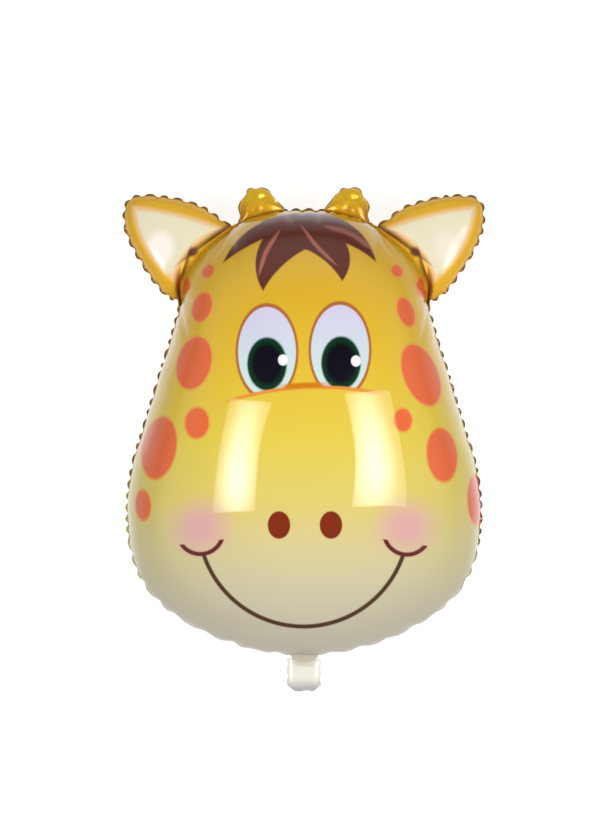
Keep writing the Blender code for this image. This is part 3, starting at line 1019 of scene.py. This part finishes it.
# %% Eyes: (middle, pupil, glint)
EYE_SIZE = (31.5, 49)
EYE_LINE = 3.2
PUPIL_SIZE = (20, 27)
GLINT_SIZE = (5, 5.5)
EYES = [((267, 352), (267, 364), (283, 360)), ((340, 350), (341, 363), (356, 361))]
eye_inks = ((0, film.between(row, 310, 385)), (6, (*INK_EYE_TOP, 1)), (7, (*INK_EYE_LOW, 1)))
eye_white = film.add("Mix", eye_inks, data_type="RGBA").outputs[2]
for middle, pupil, glint in EYES:
    distance = ellipse(film, *middle, *EYE_SIZE)
    film.paint(film.number("MULTIPLY", inside(film, distance, 40), front), INK_EYE_LINE)
    film.paint(film.number("MULTIPLY", inside(film, distance, 40, grow=-EYE_LINE), front), eye_white)
    distance = ellipse(film, *pupil, *PUPIL_SIZE)
    for full, gone, ink in ((0.93, 1.05, INK_PUPIL_RIM), (0.62, 0.88, INK_PUPIL)):
        film.paint(film.number("MULTIPLY", film.between(distance, full, gone, 1.0, 0.0), front), ink)
    distance = ellipse(film, *glint, *GLINT_SIZE)
    film.paint(film.number("MULTIPLY", inside(film, distance, 5), front), INK_WHITE)
print("eyes:", len(EYES))

# %% The muzzle's upper edge: an arc, faded out to both sides and below
MUZZLE = ((222, 403), (392, 396), 12.0)
MUZZLE_SIDES = (88, 76)
MUZZLE_LINE_SIDES = (84, 60)
BRIDGE_SIDES = (30, 11)
muzzle_centre, muzzle_radius, _, _ = arc_circle(*MUZZLE)
muzzle_away = film.span("DISTANCE", film.place, (*muzzle_centre, 0))
muzzle = film.between(muzzle_away, muzzle_radius - MARK_EDGE, muzzle_radius + MARK_EDGE, 1.0, 0.0)
muzzle = film.number("MULTIPLY", muzzle, film.between(aside, *MUZZLE_SIDES))
film.paint(film.number("MULTIPLY", muzzle, film.between(row, 440, 420)), face)
above_muzzle = film.number("SUBTRACT", muzzle_away, muzzle_radius)
muzzle_line = film.between(film.number("ABSOLUTE", above_muzzle), 1.0, 2.4, 1.0, 0.0)
muzzle_line = film.number("MULTIPLY", muzzle_line, film.between(aside, *MUZZLE_LINE_SIDES))
muzzle_line = film.number("MULTIPLY", muzzle_line, film.between(row, 430, 420))
film.paint(film.number("MULTIPLY", muzzle_line, front), INK_ORANGE)
bridge = film.number("MULTIPLY", film.between(above_muzzle, -0.6, 0.6),
                     film.between(above_muzzle, 6.5, 3.5))
bridge = film.number("MULTIPLY", bridge, film.between(aside, *BRIDGE_SIDES))
film.paint(film.number("MULTIPLY", bridge, front), INK_BRIDGE)
print("muzzle radius:", round(float(muzzle_radius)), "steps")

# %% Cheeks, nostrils and smile
CHEEKS = [(201, 527), (406, 527)]
CHEEK_SIZE = (43, 39)
CHEEK_STRENGTH = 0.78
NOSTRILS = [(279, 525), (331, 525)]
NOSTRIL_SIZE = (11.3, 13.8)
SMILE = ((403.5, 554), (203.5, 554), 72.5, 4.2)
CURLS = [((221.5, 540), (182, 545), 11.5, 4.4), ((425, 546), (385.5, 540), 11.5, 4.4)]
for cheek in CHEEKS:
    blush = film.between(ellipse(film, *cheek, *CHEEK_SIZE), 0.15, 1.0, CHEEK_STRENGTH, 0.0)
    film.paint(film.number("MULTIPLY", blush, front), INK_CHEEK)
for nostril in NOSTRILS:
    distance = ellipse(film, *nostril, *NOSTRIL_SIZE)
    film.paint(film.number("MULTIPLY", inside(film, distance, 12.5), front), INK_NOSTRIL)
film.paint(film.number("MULTIPLY", stroke(film, *SMILE), front), INK_SMILE)
for curl in CURLS:
    film.paint(film.number("MULTIPLY", stroke(film, *curl), front), INK_CURL)
print("mouth done,", len(film.tree.nodes), "nodes")

# %% [markdown]
# ## The tuft of hair
#
# The tuft is drawn flat, like the rest of the face: five locks, each a patch with three or more sides,
# count as one where they touch. A few lighter strands and a greyish painted reflection at the top of
# the tuft keep it from looking like one dark hole.

# %% Locks and strands
HAIR_SHEEN_ROWS = (224, 212)
HAIR_SHEEN_STRENGTH = 0.6
LOCKS = [
    [((223, 263), (270, 219), 7.0), ((270, 219), (268, 237), 0), ((268, 237), (223, 263), -2.0)],
    [((263, 291), (264, 237), 8.0), ((264, 237), (306, 249), 0), ((306, 249), (263, 291), -4.5)],
    [((305, 249), (344, 240), 0), ((344, 240), (342, 281), 7.0), ((342, 281), (305, 249), -4.0)],
    [((328, 215), (376, 262), 10.0), ((376, 262), (342, 242), -2.0), ((342, 242), (328, 215), 0)],
    [((262, 220), (300, 213), 1), ((300, 213), (332, 215), 1), ((332, 215), (346, 249), 0),
     ((346, 249), (306, 250), 0), ((306, 250), (262, 240), 0), ((262, 240), (262, 220), 0)],
]
STRANDS = [
    ((261, 270), (277, 236), 3.0, 4.0, 0.85),
    ((306, 231), (331, 259), -2.0, 3.4, 0.85),
    ((328, 228), (369, 248), 4.5, 4.6, 0.55),
]
hair = None
for lock in LOCKS:
    depth = patch(film, lock)
    hair = depth if hair is None else film.number("MAXIMUM", hair, depth)
hair = film.number("MULTIPLY", filled(film, hair, soft=1.0), front)
film.paint(hair, INK_HAIR)
# A greyish painted reflection over the top of the tuft.
hair_sheen = film.between(row, *HAIR_SHEEN_ROWS, 0.0, HAIR_SHEEN_STRENGTH)
film.paint(film.number("MULTIPLY", hair, hair_sheen), INK_HAIR_SHEEN)
for start, stop, bulge, width, strength in STRANDS:
    strand = stroke(film, start, stop, bulge, width, soft=1.6)
    cover = film.number("MULTIPLY", strand, film.number("MULTIPLY", front, strength))
    film.paint(cover, INK_HAIR_LIGHT)
print("tuft:", len(LOCKS), "locks,", len(film.tree.nodes), "nodes in all")

# %% [markdown]
# ## Finish of the film
#
# Under the print lies aluminium, but the ink covers it, so the film is a dull paint below a clear
# glossy coat. Only the ears and horns let a little metal through. The coat is what mirrors the soft
# boxes. It is weaker on the ears and horns, in the ears' hollows and towards the chin, where the
# photograph shows little gloss. Folds and the weld get painted shade, a dark ink where they would lie
# in shadow.

# %% Painted shade in the folds and on the weld
JAW_ROWS = (570, 530)
FOLD_SHADE = 0.45
WELD_SHADE = 0.85
LEFT_WELD_RAISE = 60.0
fold_shade = film.add("Attribute", attribute_name="fold").outputs["Fac"]
flange_share = film.add("Attribute", attribute_name="flange").outputs["Fac"]
# Painted shade in the folds, darker where a point lies deeper in a fold.
film.paint(film.between(fold_shade, 0.05, 1.1, 0.0, FOLD_SHADE), INK_FOLD_AND_WELD_SHADE)
# Painted shadow on the weld in dashes, fading out towards the chin, sooner on the left side, and half
# as strong on the horns.
lit_row = film.number("ADD", row, film.between(column, *MIDDLE_COLUMNS, LEFT_WELD_RAISE, 0.0))
weld_shade_mask = film.between(flange_share, 0.05, 0.45, 0.0, WELD_SHADE)
weld_shade_mask = film.number("MULTIPLY", weld_shade_mask, film.between(lit_row, *JAW_ROWS))
film.paint(film.number("MULTIPLY", weld_shade_mask, film.between(horn_zone, 0.0, 1.0, 1.0, 0.5)), INK_FOLD_AND_WELD_SHADE)
film.tree.links.new(film.colour, film.shader.inputs["Base Color"])
print("colours done,", len(film.tree.nodes), "nodes")

# %% Metal, coat and grain
EAR_METAL = 0.1
HORN_METAL = 0.3
LOBE_DULLING = 0.55
HOLLOW_DULLING = 0.95
CHIN_ROWS = (530, 585)
CHIN_COAT = 0.3
ear_gold = film.number("MULTIPLY", ear_zone, film.number("SUBTRACT", 1.0, panel_cover))
gilt = film.number("MAXIMUM", film.number("MULTIPLY", ear_gold, EAR_METAL),
                   film.number("MULTIPLY", horn_zone, HORN_METAL))
film.tree.links.new(gilt, film.shader.inputs["Metallic"])
film.shader.inputs["Roughness"].default_value = 0.30
film.shader.inputs["Specular IOR Level"].default_value = 0.02
lobe_dull = film.number("MULTIPLY", film.number("ADD", ear_zone, horn_zone), LOBE_DULLING)
hollow_dull = film.number("MULTIPLY", hollow, HOLLOW_DULLING)
coat = film.number("SUBTRACT", 1.0, lobe_dull)
coat = film.number("MULTIPLY", coat, film.number("SUBTRACT", 1.0, hollow_dull))
coat = film.number("MULTIPLY", coat, film.between(row, *CHIN_ROWS, 1.0, CHIN_COAT))
film.tree.links.new(coat, film.shader.inputs["Coat Weight"])
film.shader.inputs["Coat Roughness"].default_value = 0.04
film.shader.inputs["Coat IOR"].default_value = 1.5
grain = film.add("TexNoise", ((0, position), (2, 420.0), (3, 2.0)))
film_bump = film.add("Bump", ((0, 0.12), (1, 0.0004), (3, grain.outputs["Fac"])))
film.tree.links.new(film_bump.outputs[0], film.shader.inputs["Normal"])
head_film.data.materials.clear()
head_film.data.materials.append(film.material)
print("film painted with", len(film.tree.nodes), "nodes")

# %% [markdown]
# ## Clear film
#
# The sleeve has no print. It is greyer towards its lower end, and its surface is crinkled, because
# thin clear film never lies quite flat.

# %% Clear film of the sleeve
SLEEVE_CREAM = (0.86, 0.84, 0.75, 1.0)
SLEEVE_GREY = (0.50, 0.49, 0.46)
SLEEVE_GREY_FROM = 0.024
SLEEVE_GREY_FULL = 0.042
clear = Print("clear_film")
clear.colour = clear.add("RGB").outputs[0]
clear.colour.default_value = SLEEVE_CREAM
clear_split = clear.add("SeparateXYZ", ((0, clear.add("TexCoord").outputs["Object"]),))
clear.paint(clear.between(clear_split.outputs[1], CHIN_Y - SLEEVE_GREY_FROM,
                          CHIN_Y - SLEEVE_GREY_FULL), SLEEVE_GREY)
clear.tree.links.new(clear.colour, clear.shader.inputs["Base Color"])
clear.shader.inputs["Roughness"].default_value = 0.22
clear.shader.inputs["Transmission Weight"].default_value = 0.4
clear.shader.inputs["IOR"].default_value = 1.12
clear.shader.inputs["Coat Weight"].default_value = 1.0
clear.shader.inputs["Coat Roughness"].default_value = 0.06
crinkle = clear.add("TexNoise", ((0, clear.add("TexCoord").outputs["Object"]), (2, 160.0), (3, 2.0)))
clear_bump = clear.add("Bump", ((0, 0.35), (1, 0.001), (3, crinkle.outputs["Fac"])))
clear.tree.links.new(clear_bump.outputs[0], clear.shader.inputs["Normal"])
clear.tree.links.new(clear_bump.outputs[0], clear.shader.inputs["Coat Normal"])
sleeve_film.data.materials.clear()
sleeve_film.data.materials.append(clear.material)
print("sleeve finished")
